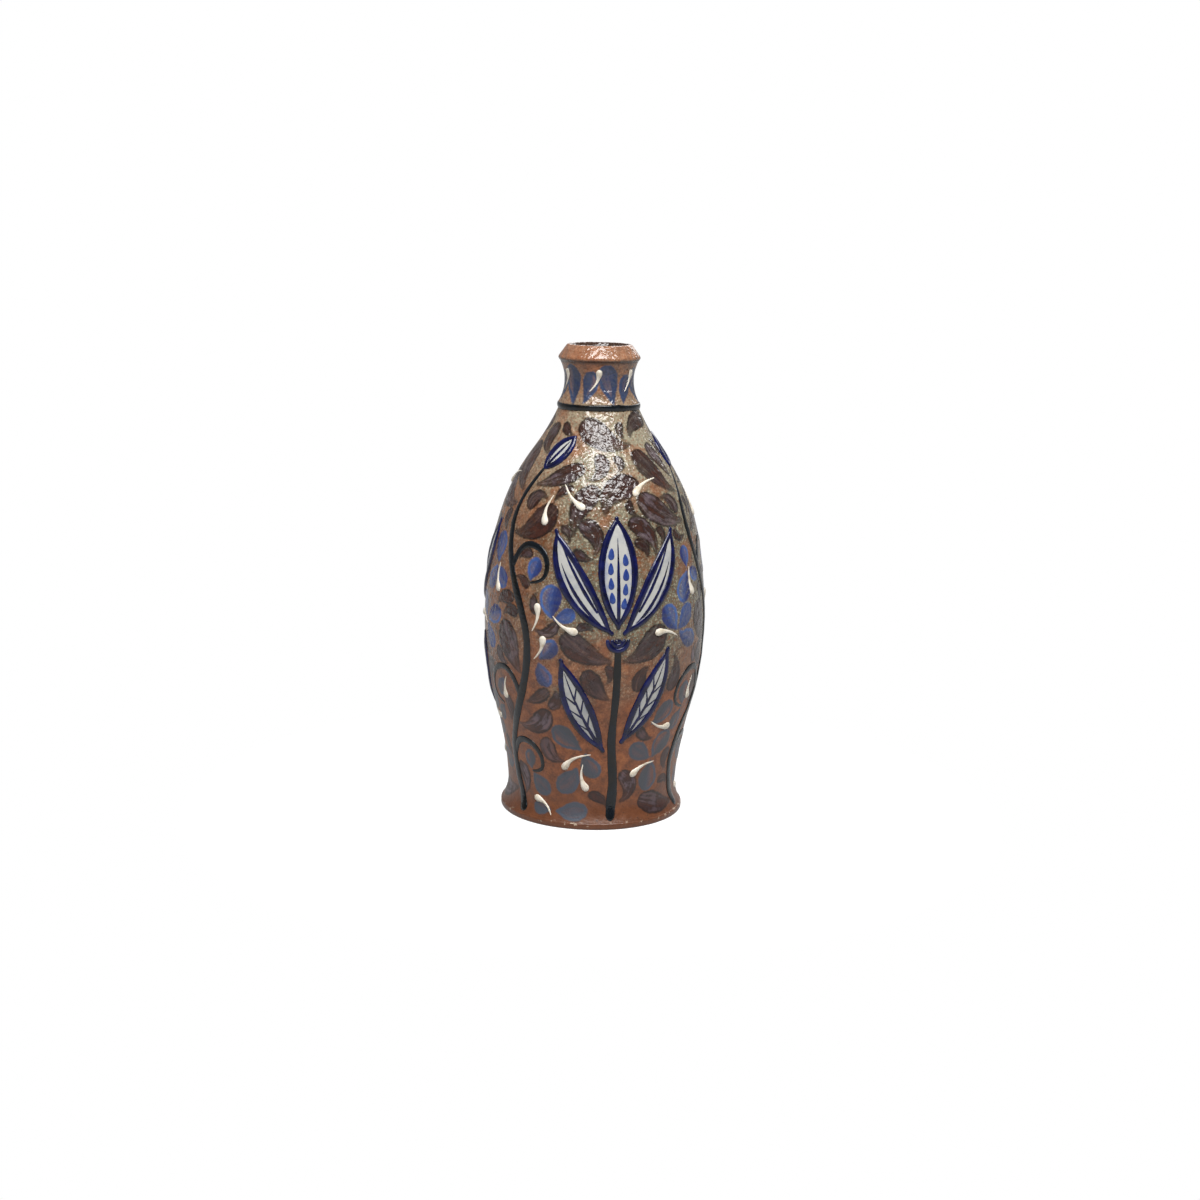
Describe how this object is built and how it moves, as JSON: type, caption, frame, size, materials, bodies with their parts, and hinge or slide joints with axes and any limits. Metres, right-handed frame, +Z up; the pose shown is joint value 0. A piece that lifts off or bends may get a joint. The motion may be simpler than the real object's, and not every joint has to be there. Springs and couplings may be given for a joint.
{
  "type": "painted stoneware bottle",
  "caption": "Narrow-necked glazed stoneware bottle with a flared foot, a waisted neck, an open bevelled lip and raised slip flowers and vines round its wall.",
  "frame": {"origin": "middle of the foot, on the surface that the bottle stands on", "axes": "+Z up along the axis of the body and neck, -Y towards the front of the picture"},
  "size_m": [0.0864, 0.0857, 0.18],
  "materials": {
    "stoneware": "glossy mottled glaze, rust brown low down and olive grey above",
    "black_slip": "glossy black slip line",
    "white_enamel": "glossy white enamel",
    "cobalt_slip": "glossy dark cobalt line",
    "cream_slip": "glossy cream slip"
  },
  "bodies": {
    "root": {"foot_disc": "stoneware", "body_wall": "stoneware", "neck_collar": "stoneware", "lip_ring": "stoneware", "neck_band": "black_slip", "neck_commas": "cream_slip", "front_stem": "black_slip", "front_vine": "black_slip", "front_enamel": "white_enamel", "front_outline": "cobalt_slip", "front_commas": "cream_slip", "right_stem": "black_slip", "right_vine": "black_slip", "right_enamel": "white_enamel", "right_outline": "cobalt_slip", "right_commas": "cream_slip", "left_stem": "black_slip", "left_vine": "black_slip", "left_enamel": "white_enamel", "left_outline": "cobalt_slip", "left_commas": "cream_slip"}
  },
  "joints": []
}
